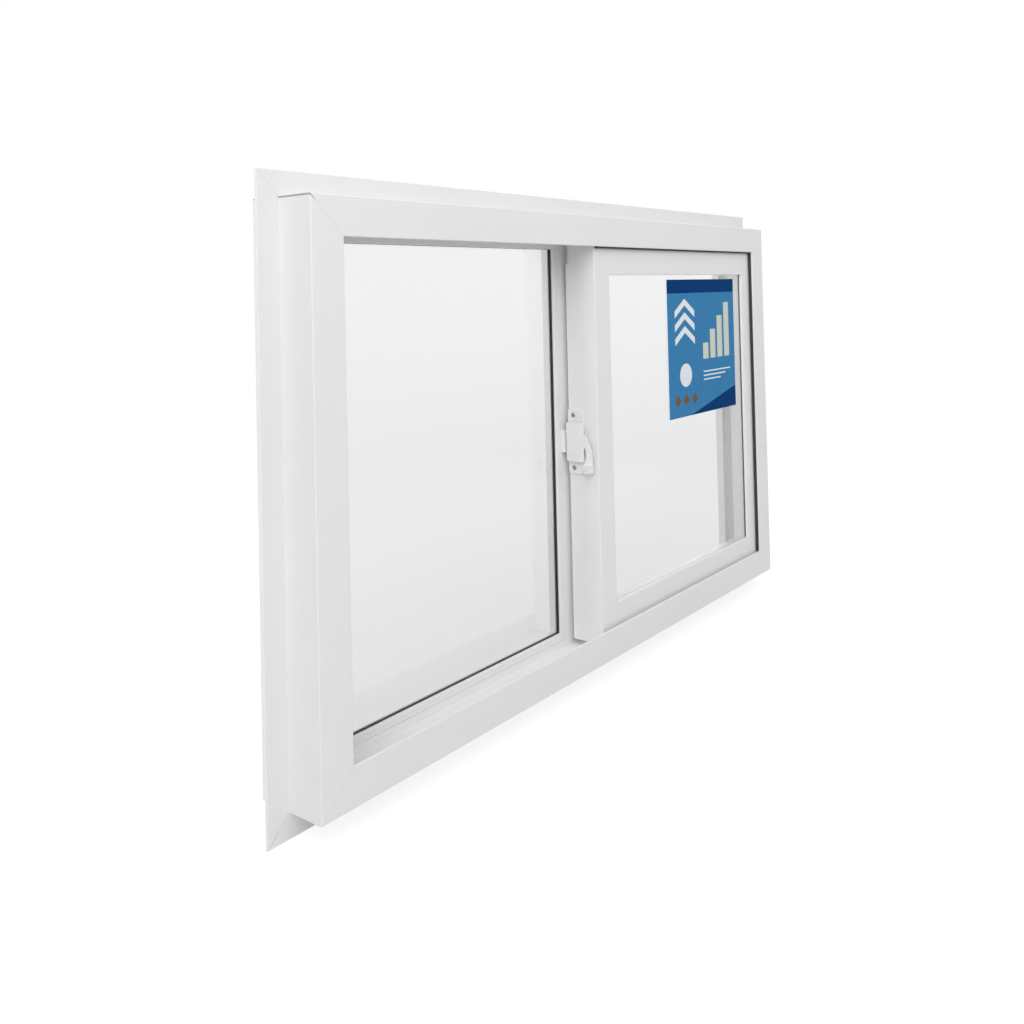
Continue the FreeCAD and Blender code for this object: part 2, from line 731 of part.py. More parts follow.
def build_lock():
    """Build the lock body, its lever with the cam, and the keeper on the mullion."""
    face = sash_left
    back = sash_back + size("interlock_reach") - size("lock_edge")
    front = back - size("lock_plate_width")
    centre = from_foot(size("lock_height") + size("sash_foot"))
    plate_top = face - size("lock_plate_thickness")
    cover_top = plate_top - size("housing_rise")
    half_plate = size("lock_plate_length") * 0.5
    half_cover = size("housing_length") * 0.5
    pivot = back - size("pivot_setback")
    cover_wall = size("housing_wall")
    plate = add_slab("lock_plate", rounded(front, back, centre - half_plate, centre + half_plate,
                                           size("lock_plate_round")), (plate_top, face))
    cover = add_slab("lock_cover", rounded(back - size("housing_width"), back, centre - half_cover,
                                           centre + half_cover, size("housing_round")),
                     (cover_top, cover_top + cover_wall))
    posts = []
    for side in (1, -1):
        levels = sorted((centre + half_cover * side, centre + (half_cover - cover_wall) * side),
                        key=lambda level: level.value)
        name = f"lock_post_{'top' if side > 0 else 'foot'}"
        posts.append(add_box(name, (cover_top, plate_top),
                             (pivot + size("hub_radius"), back - size("housing_round")), levels))
    pin = add_round("lock_pin", size("pivot_radius"), plate_top - cover_top, (cover_top, pivot, centre), "X")
    keep(join("lock_body", [plate, cover, pin] + posts), "lock_body")

    middle = (cover_top + cover_wall + plate_top) * 0.5
    half_lever = size("lever_thickness") * 0.5
    layer = (middle - half_lever, middle + half_lever)
    hub = add_round("lever_hub", size("hub_radius"), size("lever_thickness"), (layer[0], pivot, centre), "X")
    arm = add_slab("lever_arm", lever_outline(pivot, centre), layer)
    thumb_low, thumb_top = centre - size("lever_drop"), centre - size("thumb_top")
    thumb = add_slab("lever_thumb", rounded(pivot - size("lever_reach"), pivot - size("thumb_start"),
                                            thumb_low, thumb_top, size("thumb_round")),
                     (layer[0] - size("thumb_rise"), layer[1]))
    cam = add_box("lever_cam", layer, (ZERO, size("cam_reach")),
                  (-size("cam_width") * 0.5, size("cam_width") * 0.5))
    turn_cam(cam, layer[0], pivot, centre)
    bore = add_round("lever_bore", size("pivot_radius") + size("axle_clearance"), size("lever_thickness"),
                     (layer[0], pivot, centre), "X")
    keep(cut("lock_lever", join("lever_solid", [hub, arm, thumb, cam]), bore), "lock_lever")

    seat = depth(size("pocket_depth"))
    keeper_right = face
    keeper_left = keeper_right - size("keeper_width")
    half_keeper = size("keeper_length") * 0.5
    block = add_box("keeper_block", (keeper_left, keeper_right), (seat - size("keeper_rise"), seat),
                    (centre - half_keeper, centre + half_keeper))
    half_slot = size("keeper_slot") * 0.5
    slot = add_box("keeper_slot_tool", (middle - half_slot, middle + half_slot),
                   (seat - size("keeper_rise"), seat),
                   (centre - half_keeper + size("keeper_wall"), centre + half_keeper - size("keeper_wall")))
    keep(cut("lock_keeper", block, slot), "lock_keeper")


def rounded(low_across, high_across, low_up, high_up, radius):
    """Return the corners of a rectangle that are all rounded alike."""
    return [(*corner, radius) for corner in rectangle(low_across, high_across, low_up, high_up)]


def lever_outline(pivot, centre):
    """Return the bowed outline of the lever, from its hub out and down to the thumb."""
    hub = size("hub_radius")
    thumb_round = size("thumb_round")
    reaches = [
        (ZERO, hub), (size("shoulder_reach"), size("shoulder_rise"), size("shoulder_round")),
        (size("bow_reach"), -size("bow_drop"), size("bow_round")),
        (size("lever_reach"), -size("lever_drop"), thumb_round),
        (size("thumb_start"), -size("lever_drop"), thumb_round), (size("thumb_start"), -size("thumb_top")),
        (size("neck_reach"), -size("neck_drop"), size("neck_round")),
        (size("throat_reach"), -size("throat_drop")), (ZERO, -hub),
    ]
    return [(pivot - reach, centre + rise, *radius) for reach, rise, *radius in reaches]


def turn_cam(cam, x, y, z):
    """Turn the cam about the lock's pivot to its rest angle."""
    angle = size("cam_rest_angle")
    half = size("cam_width") * 0.5
    turn = FreeCAD.Rotation(FreeCAD.Vector(1, 0, 0), angle.value)
    cam.Placement = FreeCAD.Placement(FreeCAD.Vector(), turn)
    cam.setExpression("Placement.Rotation.Angle", angle.text)
    bind(cam, "Placement.Base.x", x)
    cam.setExpression("Placement.Base.y", f"{y.text} + ({half.text}) * sin({angle.text} * 1 deg)")
    cam.setExpression("Placement.Base.z", f"{z.text} - ({half.text}) * cos({angle.text} * 1 deg)")


def check_and_export():
    """Stop on a failed object or shape, then write one file for each sub-part."""
    doc.recompute()
    for obj in doc.Objects:
        if "Invalid" in obj.State or "Error" in obj.State:
            raise RuntimeError(f"{obj.Label} failed: {obj.State}")
    os.makedirs("parts", exist_ok=True)
    for part in parts:
        shape = part.Shape
        if shape.isNull() or not shape.isValid() or not shape.Solids:
            raise RuntimeError(f"{part.Label} has no valid solid")
    for part in parts:
        part.Shape.exportStep(f"parts/{part.Label}.step")


build_frame()
build_seals()
build_mullion()
build_fixed_pane()
build_sash()
build_runners()
build_lock()
check_and_export()
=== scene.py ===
"""Studio scene of a white PVC sliding window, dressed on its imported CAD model."""
import json
import logging
import math
from dataclasses import dataclass, field
from enum import Enum

import bpy
from bpy.types import Material, Mesh, Node, NodeSocket, NodeTree
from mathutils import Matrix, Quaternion, Vector
from mathutils.geometry import tessellate_polygon

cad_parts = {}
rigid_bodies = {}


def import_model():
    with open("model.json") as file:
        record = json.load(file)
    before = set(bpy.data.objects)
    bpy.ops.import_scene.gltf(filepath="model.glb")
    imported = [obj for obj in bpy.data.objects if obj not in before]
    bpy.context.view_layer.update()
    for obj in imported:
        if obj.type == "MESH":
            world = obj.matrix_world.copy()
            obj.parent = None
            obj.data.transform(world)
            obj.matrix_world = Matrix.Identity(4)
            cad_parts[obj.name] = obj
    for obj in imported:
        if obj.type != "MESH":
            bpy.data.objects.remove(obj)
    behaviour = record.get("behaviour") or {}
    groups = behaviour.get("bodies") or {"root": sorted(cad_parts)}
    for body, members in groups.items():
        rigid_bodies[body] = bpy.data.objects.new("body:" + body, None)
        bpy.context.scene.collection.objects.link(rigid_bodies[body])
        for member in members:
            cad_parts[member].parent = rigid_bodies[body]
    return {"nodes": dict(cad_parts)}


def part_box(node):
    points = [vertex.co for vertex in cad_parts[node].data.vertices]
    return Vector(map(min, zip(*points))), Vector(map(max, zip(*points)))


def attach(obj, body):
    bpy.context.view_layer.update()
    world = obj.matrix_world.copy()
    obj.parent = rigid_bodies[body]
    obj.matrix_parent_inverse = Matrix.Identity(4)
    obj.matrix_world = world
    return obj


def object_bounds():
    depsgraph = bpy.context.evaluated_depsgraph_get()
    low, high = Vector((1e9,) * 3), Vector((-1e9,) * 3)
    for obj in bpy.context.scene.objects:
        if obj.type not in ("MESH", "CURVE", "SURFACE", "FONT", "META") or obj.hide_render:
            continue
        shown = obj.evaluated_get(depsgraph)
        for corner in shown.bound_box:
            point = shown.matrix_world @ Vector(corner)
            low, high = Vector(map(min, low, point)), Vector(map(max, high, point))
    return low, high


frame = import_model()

CAD_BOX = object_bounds()
MM = 0.001
LOG = logging.getLogger("sliding_window")

Colour = tuple[float, float, float, float]
Place = tuple[float, float, float]
# The corners of a flat shape, in order
Outline = list[tuple[float, float]]


class Run(Enum):
    """The direction in which a length of profile was extruded."""

    ACROSS = "x"
    UP = "z"


class Body(Enum):
    """The moving bodies of the window."""

    FRAME = "frame"
    SASH = "sash"
    LEVER = "lock_lever"


class Slot(Enum):
    """The record's material slot names; the added pieces are not given them."""

    PVC = "white_pvc"
    GASKET = "gasket_black"
    LOCK = "lock_white"


def linear(code: str) -> Colour:
    """Turn an sRGB hex colour into linear light.

    Args:
        code: The colour as #RRGGBB.

    Returns:
        Red, green and blue by the sRGB curve, and a full alpha.
    """
    values = [int(code[i:i + 2], 16) / 255 for i in (1, 3, 5)]
    red, green, blue = (v / 12.92 if v <= 0.04045 else ((v + 0.055) / 1.055) ** 2.4
                        for v in values)
    return red, green, blue, 1.0


WHITE = linear("#FFFFFF")


def add_node(tree: NodeTree, kind: str, inputs: dict[str | int, object] | None = None,
             **settings: str) -> Node:
    """Add a node, set its properties and fill its inputs.

    Args:
        tree: The node tree that takes the node.
        kind: The node's type name.
        inputs: Values or output sockets by the input's name or number.
        settings: Properties by name.

    Returns:
        The new node.
    """
    node = tree.nodes.new(kind)
    for name, value in settings.items():
        setattr(node, name, value)
    for key, value in (inputs or {}).items():
        if isinstance(value, NodeSocket):
            tree.links.new(value, node.inputs[key])
        else:
            node.inputs[key].default_value = value
    return node


def own_place(tree: NodeTree) -> NodeSocket:
    """Read the shaded point in the object's own coordinates.

    Args:
        tree: The material's node tree.

    Returns:
        The point's socket, in metres.
    """
    return add_node(tree, "ShaderNodeTexCoord").outputs["Object"]


def noise(tree: NodeTree, place: NodeSocket, scale: float, detail: float) -> NodeSocket:
    """Add soft noise.

    Args:
        tree: The material's node tree.
        place: The point at which it is read.
        scale: How many features it has per metre.
        detail: How many finer layers it has.

    Returns:
        A socket from 0 to 1.
    """
    texture = add_node(tree, "ShaderNodeTexNoise",
                       {"Vector": place, "Scale": scale, "Detail": detail})
    return texture.outputs["Fac"]


def spread(tree: NodeTree, value: NodeSocket, low: float, high: float) -> NodeSocket:
    """Spread a value that runs from 0 to 1 over another range.

    Args:
        tree: The material's node tree.
        value: The value's socket.
        low: The result where the value is 0.
        high: The result where it is 1.

    Returns:
        The result's socket.
    """
    ramp = add_node(tree, "ShaderNodeMapRange", {"Value": value, "To Min": low, "To Max": high})
    return ramp.outputs["Result"]


def ease(tree: NodeTree, value: NodeSocket, start: float, end: float, low: float = 0.0,
         high: float = 1.0) -> NodeSocket:
    """Change smoothly from one number to another between two values.

    Args:
        tree: The material's node tree.
        value: The value's socket.
        start: The value at which the change starts.
        end: The value at which it ends.
        low: The result before the change.
        high: The result after it.

    Returns:
        The result's socket.
    """
    ramp = add_node(tree, "ShaderNodeMapRange",
                    {"Value": value, "From Min": start, "From Max": end, "To Min": low,
                     "To Max": high}, interpolation_type="SMOOTHSTEP")
    return ramp.outputs["Result"]


def mix_colours(tree: NodeTree, share: NodeSocket, first: Colour | NodeSocket,
                second: Colour | NodeSocket) -> NodeSocket:
    """Mix two colours.

    Args:
        tree: The material's node tree.
        share: The second colour's share.
        first: A colour or its socket.
        second: A colour or its socket.

    Returns:
        The mixed colour's socket.
    """
    # The Mix node numbers its colour sockets after those of its other modes
    colour_a, colour_b, result = 6, 7, 2
    mix = add_node(tree, "ShaderNodeMix", {"Factor": share, colour_a: first, colour_b: second},
                   data_type="RGBA")
    return mix.outputs[result]


def mix_shaders(tree: NodeTree, share: NodeSocket, first: Node, second: Node) -> Node:
    """Mix two shaders.

    Args:
        tree: The material's or the world's node tree.
        share: The second shader's share.
        first: The first shader.
        second: The second shader.

    Returns:
        The mixed shader.
    """
    return add_node(tree, "ShaderNodeMixShader",
                    {0: share, 1: first.outputs[0], 2: second.outputs[0]})


def new_surface(name: str) -> tuple[Material, NodeTree]:
    """Start a material with no nodes.

    Args:
        name: The material's name.

    Returns:
        The material and its tree.
    """
    material = bpy.data.materials.new(name)
    material.use_nodes = True
    material.node_tree.nodes.clear()
    return material, material.node_tree


def end_surface(tree: NodeTree, shader: Node) -> None:
    """Give a material its output.

    Args:
        tree: The material's node tree.
        shader: The shader that it shows.
    """
    add_node(tree, "ShaderNodeOutputMaterial", {"Surface": shader.outputs[0]})


def dress(names: tuple[str, ...], material: Material) -> None:
    """Give CAD nodes one material.

    Args:
        names: The nodes' names.
        material: Their finish.
    """
    for name in names:
        mesh = frame["nodes"][name].data
        mesh.materials.clear()
        mesh.materials.append(material)


@dataclass
class Solid:
    """Faces that are gathered into one mesh, in metres."""

    vertices: list[Vector] = field(default_factory=list)
    faces: list[tuple[int, ...]] = field(default_factory=list)

    def add(self, *face: int) -> None:
        """Add one face.

        Args:
            face: Vertex numbers in order.
        """
        self.faces.append(face)

    def prism(self, outline: list[Vector], way: Vector) -> None:
        """Add a closed outline, extruded.

        Args:
            outline: The outline's corners, in one plane.
            way: The extrusion's direction and length.
        """
        first, count = len(self.vertices), len(outline)
        self.vertices += outline + [corner + way for corner in outline]
        sides = zip(outline, outline[1:] + outline[:1])
        flip = sum((a.cross(b) for a, b in sides), Vector()).dot(way) > 0
        low = tuple(range(first, first + count))
        high = tuple(index + count for index in low)
        self.add(*(low[::-1] if flip else low))
        self.add(*(high if flip else high[::-1]))
        for index in range(count):
            follow = (index + 1) % count
            side = (low[index], low[follow], high[follow], high[index])
            self.add(*(side if flip else side[::-1]))

    def mesh(self, name: str) -> Mesh:
        """Turn the gathered faces into a mesh.

        Args:
            name: The mesh's name.

        Returns:
            The mesh.
        """
        mesh = bpy.data.meshes.new(name)
        mesh.from_pydata(self.vertices, [], self.faces)
        mesh.update()
        return mesh


def add_piece(name: str, mesh: Mesh, material: Material, body: Body) -> None:
    """Add a finished mesh to the scene as a piece of the window.

    Args:
        name: The piece's name.
        mesh: Its mesh, in place.
        material: Its finish.
        body: The body that it moves with.
    """
    piece = bpy.data.objects.new(name, mesh)
    bpy.context.scene.collection.objects.link(piece)
    mesh.materials.clear()
    mesh.materials.append(material)
    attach(piece, body.value)
    LOG.info("piece %s: %d faces on %s", name, len(mesh.polygons), body.value)


@dataclass
class Row:
    """A Geometry Nodes row that repeats one small shape along a line.

    tilt is the greatest random lean about each axis, in radians.
    """

    count: int
    start: Vector
    step: Vector
    tilt: float = 0.0
    seed: int = 7

    def bake(self, name: str, unit: Mesh) -> Mesh:
        """Make the row as one plain mesh.

        Args:
            name: The mesh's name.
            unit: The shape that repeats, at the origin.

        Returns:
            The row's mesh.
        """
        scene = bpy.context.scene.collection.objects
        model = bpy.data.objects.new(f"{name}_unit", unit)
        carrier = bpy.data.objects.new(f"{name}_carrier", bpy.data.meshes.new(f"{name}_carrier"))
        scene.link(model)
        scene.link(carrier)
        group = self.nodes()
        values = {"Piece": model, "Count": self.count, "Start": self.start, "Step": self.step,
                  "Tilt": (self.tilt, self.tilt, self.tilt), "Seed": self.seed}
        modifier = carrier.modifiers.new("row", "NODES")
        modifier.node_group = group
        for item in group.interface.items_tree:
            if item.in_out == "INPUT":
                modifier[item.identifier] = values[item.name]
        carrier.update_tag()
        evaluated = carrier.evaluated_get(bpy.context.evaluated_depsgraph_get())
        baked = bpy.data.meshes.new_from_object(evaluated)
        baked.name = name
        for spare in (carrier, model):
            bpy.data.objects.remove(spare)
        bpy.data.node_groups.remove(group)
        return baked

    def nodes(self) -> NodeTree:
        """Make the node group: points on a line, the shape on each, then one mesh.

        Returns:
            The node group.
        """
        tree = bpy.data.node_groups.new("row_of_shapes", "GeometryNodeTree")
        tree.is_modifier = True
        sockets = {"Piece": "Object", "Count": "Int", "Start": "Vector", "Step": "Vector",
                   "Tilt": "Vector", "Seed": "Int"}
        for name, kind in sockets.items():
            tree.interface.new_socket(name, in_out="INPUT", socket_type=f"NodeSocket{kind}")
        tree.interface.new_socket("Row", in_out="OUTPUT", socket_type="NodeSocketGeometry")
        given = add_node(tree, "NodeGroupInput").outputs
        line = add_node(tree, "GeometryNodeMeshLine",
                        {"Count": given["Count"], "Start Location": given["Start"],
                         "Offset": given["Step"]}, mode="OFFSET")
        shape = add_node(tree, "GeometryNodeObjectInfo", {"Object": given["Piece"]})
        back = add_node(tree, "ShaderNodeVectorMath", {0: given["Tilt"], "Scale": -1.0},
                        operation="SCALE")
        lean = add_node(tree, "FunctionNodeRandomValue",
                        {0: back.outputs[0], 1: given["Tilt"], "Seed": given["Seed"]},
                        data_type="FLOAT_VECTOR")
        copies = add_node(tree, "GeometryNodeInstanceOnPoints",
                          {"Points": line.outputs["Mesh"], "Instance": shape.outputs["Geometry"],
                           "Rotation": lean.outputs[0]})
        real = add_node(tree, "GeometryNodeRealizeInstances",
                        {"Geometry": copies.outputs["Instances"]})
        add_node(tree, "NodeGroupOutput", {"Row": real.outputs["Geometry"]})
        return tree


@dataclass(frozen=True)
class ExtrudedPvc:
    """Rigid white PVC, drawn through a die: satin, with faint lines along its run."""

    run: Run
    welded: bool = False
    colour: str = "#EDEDED"
    shade: str = "#E7E7E7"
    roughness: float = 0.44
    smoother: float = 0.05
    rougher: float = 0.07
    ior: float = 1.53
    line_mm: float = 2.4
    run_mm: float = 420.0
    relief: float = 0.04
    relief_mm: float = 0.08
    cloud_mm: float = 160.0
    weld: str = "#DCDCDC"
    weld_mm: float = 0.9

    def build(self) -> Material:
        """Make the material.

        Returns:
            The material.
        """
        kind = "welded" if self.welded else "extruded"
        material, tree = new_surface(f"{kind}_pvc_{self.run.value}")
        across, along = 1 / (self.line_mm * MM), 1 / (self.run_mm * MM)
        # Die lines are finer than a pixel, so they are drawn about 2 mm apart
        level = self.run is Run.ACROSS
        scale = (along, across, across) if level else (across, across, along)
        place = own_place(tree)
        lines = add_node(tree, "ShaderNodeMapping", {"Vector": place, "Scale": scale})
        streaks = noise(tree, lines.outputs["Vector"], scale=1.0, detail=2.0)
        cloud = noise(tree, place, scale=1 / (self.cloud_mm * MM), detail=1.0)
        tint = mix_colours(tree, cloud, linear(self.colour), linear(self.shade))
        if self.welded:
            # The scraped weld is a faint grey line across each mitre
            tint = mix_colours(tree, self.weld_line(tree, place), tint, linear(self.weld))
        gloss = spread(tree, streaks, self.roughness - self.smoother,
                       self.roughness + self.rougher)
        relief = add_node(tree, "ShaderNodeBump",
                          {"Height": streaks, "Strength": self.relief,
                           "Distance": self.relief_mm * MM})
        end_surface(tree, add_node(tree, "ShaderNodeBsdfPrincipled",
                                   {"Base Color": tint, "Roughness": gloss, "IOR": self.ior,
                                    "Normal": relief.outputs["Normal"]}))
        return material

    def weld_line(self, tree: NodeTree, place: NodeSocket) -> NodeSocket:
        """Mark the diagonals of the frame's corners.

        Args:
            tree: The material's node tree.
            place: The point in the object's own coordinates.

        Returns:
            A socket that is 1 on the diagonals and 0 away from them.
        """
        low, high = CAD_BOX
        middle, half = (low + high) / 2, (high - low) / 2
        centred = add_node(tree, "ShaderNodeVectorMath", {0: place, 1: middle},
                           operation="SUBTRACT")
        folded = add_node(tree, "ShaderNodeVectorMath", {0: centred.outputs[0]},
                          operation="ABSOLUTE")
        inset = add_node(tree, "ShaderNodeVectorMath", {0: folded.outputs[0], 1: half},
                         operation="SUBTRACT")
        parts = add_node(tree, "ShaderNodeSeparateXYZ", {"Vector": inset.outputs[0]}).outputs
        apart = add_node(tree, "ShaderNodeMath", {0: parts["X"], 1: parts["Z"]},
                         operation="SUBTRACT")
        away = add_node(tree, "ShaderNodeMath", {0: apart.outputs[0]}, operation="ABSOLUTE")
        return ease(tree, away.outputs[0], 0.0, self.weld_mm * MM, low=1.0, high=0.0)


@dataclass(frozen=True)
class FloatGlass:
    """Clear float glass: flat and neutral, with a tint that is painted darker lower down as shade.
    """

    top_tint: str = "#F1F1F1"
    painted_shade_low: str = "#DFDFDF"
    low_mm: float = 60.0
    high_mm: float = 560.0
    haze_mm: float = 210.0
    haze_roughness: float = 0.03
    ior: float = 1.52

    def build(self) -> Material:
        """Make the material.

        Returns:
            The material.
        """
        material, tree = new_surface("clear_float_glass")
        place = own_place(tree)
        height = add_node(tree, "ShaderNodeSeparateXYZ", {"Vector": place}).outputs["Z"]
        # Painted shade: the tint, named film here, grows darker towards the bottom of the pane
        rise = ease(tree, height, self.low_mm * MM, self.high_mm * MM)
        film = mix_colours(tree, rise, linear(self.painted_shade_low), linear(self.top_tint))
        haze = noise(tree, place, scale=1 / (self.haze_mm * MM), detail=2.0)
        shader = add_node(tree, "ShaderNodeBsdfPrincipled",
                          {"Base Color": film, "IOR": self.ior, "Transmission Weight": 1.0,
                           "Roughness": spread(tree, haze, 0.0, self.haze_roughness)})
        # Lamplight passes through the pane, so that what stands behind it isn't in the dark
        open_way = add_node(tree, "ShaderNodeBsdfTransparent", {"Color": film})
        shadow = add_node(tree, "ShaderNodeLightPath").outputs["Is Shadow Ray"]
        end_surface(tree, mix_shaders(tree, shadow, shader, open_way))
        return material


@dataclass(frozen=True)
class Grained:
    """A moulded, rubber, metal or printed surface: one colour with a fine grain."""

    name: str
    colour: str
    shade: str
    roughness: float
    grain_mm: float
    depth_mm: float
    ior: float = 1.5
    metallic: float = 0.0
    smoother: float = 0.06
    rougher: float = 0.08
    relief: float = 0.25

    def build(self) -> Material:
        """Make the material.

        Returns:
            The material.
        """
        material, tree = new_surface(self.name)
        grain = noise(tree, own_place(tree), scale=1 / (self.grain_mm * MM), detail=3.0)
        tint = mix_colours(tree, grain, linear(self.colour), linear(self.shade))
        gloss = spread(tree, grain, self.roughness - self.smoother, self.roughness + self.rougher)
        relief = add_node(tree, "ShaderNodeBump",
                          {"Height": grain, "Strength": self.relief,
                           "Distance": self.depth_mm * MM})
        end_surface(tree, add_node(tree, "ShaderNodeBsdfPrincipled",
                                   {"Base Color": tint, "Roughness": gloss, "IOR": self.ior,
                                    "Metallic": self.metallic,
                                    "Normal": relief.outputs["Normal"]}))
        return material


def printed(name: str, colour: str, shade: str) -> Grained:
    """Describe printed film: even ink with a fine screen grain and hardly any gloss.

    Args:
        name: The material's name.
        colour: The ink's colour.
        shade: Its darker tone.

    Returns:
        The ink's finish.
    """
    return Grained(name, colour, shade, roughness=0.45, grain_mm=1.1, depth_mm=0.01, ior=1.06)


# Matt rubber: a dark line with no hard highlight
RUBBER = Grained("black_wedge_gasket", "#1D1D1D", "#292929",
                 roughness=0.62, grain_mm=1.6, depth_mm=0.05, ior=1.52)
# Moulded plastic is a little glossier than the drawn profile and has no lines
LOCK_PLASTIC = Grained("moulded_lock_plastic", "#EFEFEE", "#E8E8E7",
                       roughness=0.30, grain_mm=2.0, depth_mm=0.02, ior=1.49)
# Unpainted nylon: greyer and duller than the PVC
NYLON = Grained("moulded_nylon", "#DADAD6", "#CBCBC7",
                roughness=0.48, grain_mm=1.8, depth_mm=0.03, ior=1.53)
# Dull zinc plating
ZINC = Grained("zinc_plated_steel", "#ACADAE", "#98999B",
               roughness=0.42, grain_mm=0.7, depth_mm=0.02, metallic=1.0)
# Woven pile, coloured nearly black as painted shade of the gap it stands in
PILE = Grained("pile_with_painted_shade", "#3A3A3A", "#2A2A2A", roughness=0.90, grain_mm=0.6, depth_mm=0.04)
INKS = {"field": printed("film_mid_blue", "#4387BA", "#3E80B2"),
        "dark": printed("film_dark_blue", "#0B3F79", "#09386E"),
        "pale": printed("film_white", "#EEF3F6", "#E2EAEF"),
        "cream": printed("film_cream", "#D9DFD2", "#CBD2C4"),
        "earth": printed("film_earth", "#7D6656", "#6C584B")}


@dataclass
class OuterFrame:
    """The four mitred frame members and the fixed mullion."""

    level: tuple[str, ...] = ("sill", "head")
    upright: tuple[str, ...] = ("left_jamb", "right_jamb", "fixed_mullion")

    def build(self, across: Material, up: Material) -> None:
        """Dress the members along their own runs.

        Args:
            across: PVC drawn along X.
            up: PVC drawn along Z.
        """
        dress(self.level, across)
        dress(self.upright, up)


@dataclass
class FixedPane:
    """The fixed glass with its beads, gasket and tape."""

    glass: tuple[str, ...] = ("fixed_glass",)
    rubber: tuple[str, ...] = ("fixed_gasket", "fixed_tape")
    level_beads: tuple[str, ...] = ("fixed_bead_sill", "fixed_bead_head")
    upright_beads: tuple[str, ...] = ("fixed_bead_left", "fixed_bead_mullion")

    def build(self, across: Material, up: Material, glass: Material, rubber: Material) -> None:
        """Dress the pane.

        Args:
            across: PVC drawn along X.
            up: PVC drawn along Z.
            glass: The pane's glass.
            rubber: The gasket's rubber.
        """
        dress(self.glass, glass)
        dress(self.rubber, rubber)
        dress(self.level_beads, across)
        dress(self.upright_beads, up)


@dataclass
class SlidingSash:
    """The sash with its glass, beads, tape, rollers and guides."""

    level: tuple[str, ...] = ("sash_bottom_rail", "sash_top_rail", "sash_bead_bottom",
                              "sash_bead_top")
    upright: tuple[str, ...] = ("sash_closing_stile", "sash_meeting_stile", "sash_bead_left",
                                "sash_bead_right")
    glass: tuple[str, ...] = ("sash_glass",)
    tape: tuple[str, ...] = ("sash_tape",)
    runners: tuple[str, ...] = ("roller_carriage_left", "roller_carriage_right", "roller_left",
                                "roller_right", "top_guide_left", "top_guide_right")

    def build(self, across: Material, up: Material, glass: Material, rubber: Material,
              nylon: Material) -> None:
        """Dress the sash.

        Args:
            across: PVC drawn along X.
            up: PVC drawn along Z.
            glass: The sash's glass.
            rubber: The tape behind the glass.
            nylon: The runners' plastic.
        """
        dress(self.level, across)
        dress(self.upright, up)
        dress(self.glass, glass)
        dress(self.tape, rubber)
        dress(self.runners, nylon)


